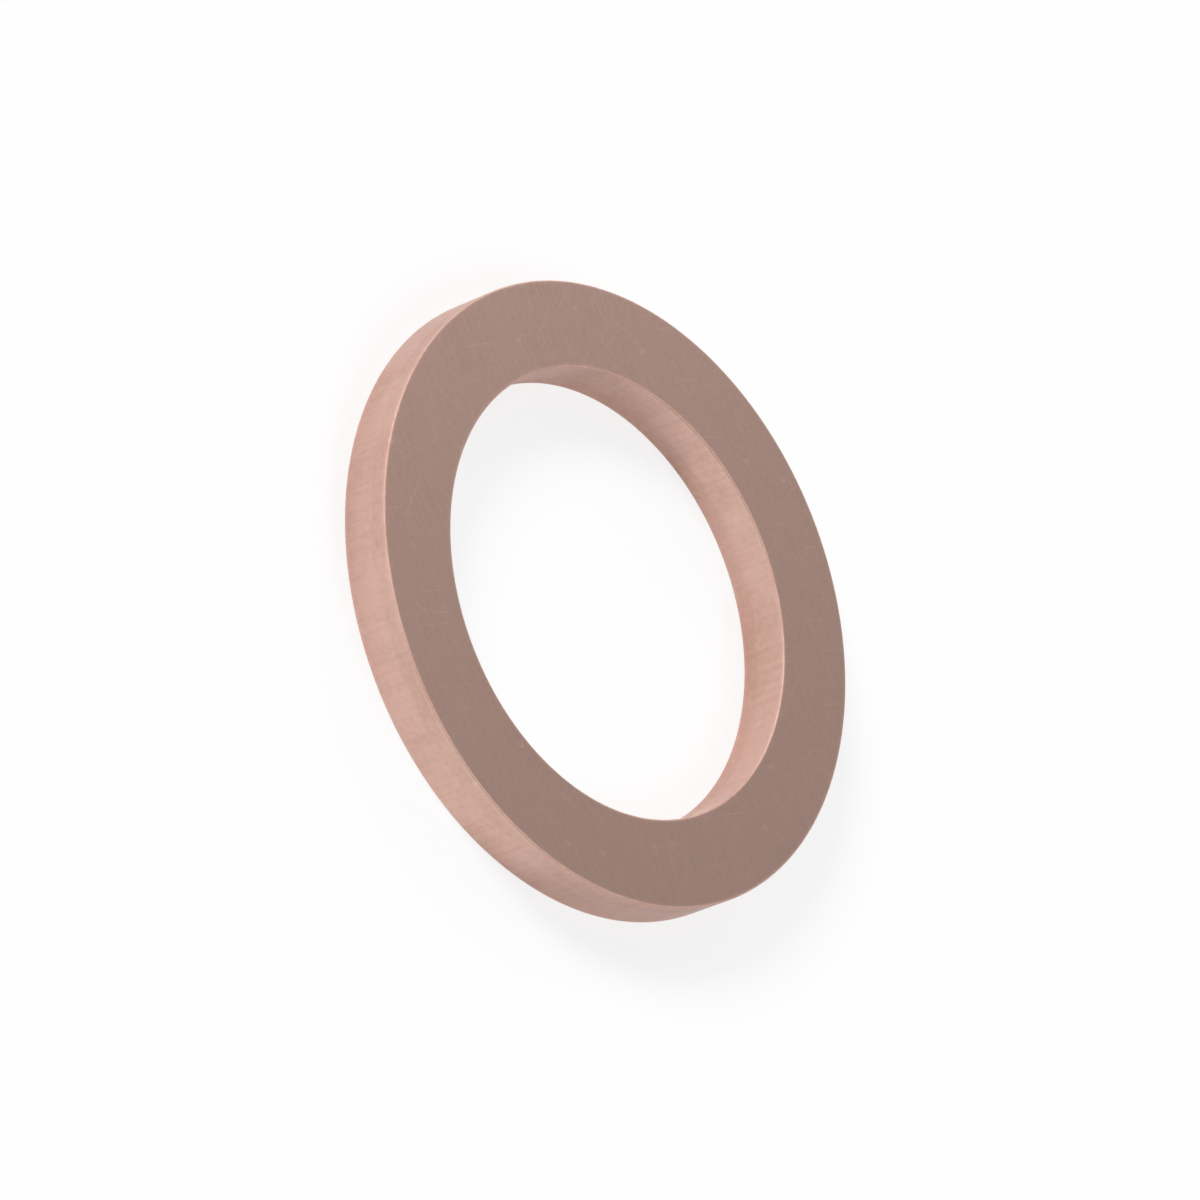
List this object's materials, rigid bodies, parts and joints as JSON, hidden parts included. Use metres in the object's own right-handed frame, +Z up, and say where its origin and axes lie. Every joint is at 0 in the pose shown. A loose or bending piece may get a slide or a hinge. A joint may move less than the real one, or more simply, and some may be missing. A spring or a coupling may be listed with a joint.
{
  "type": "washer",
  "caption": "Flat copper sealing washer: a plain ring of rectangular section with tumbled edges and a round bore, clamped under a bolt or union to seal it.",
  "frame": {"origin": "centre of the underside, on the bore's axis, in the plane that the washer lies on", "axes": "+Z up along the bore's axis; X and Y are any two square directions in the sealing face, because the ring is round"},
  "size_m": [0.019, 0.019, 0.0016],
  "materials": {
    "copper": "satin"
  },
  "bodies": {
    "root": {"washer": "copper"}
  },
  "joints": []
}
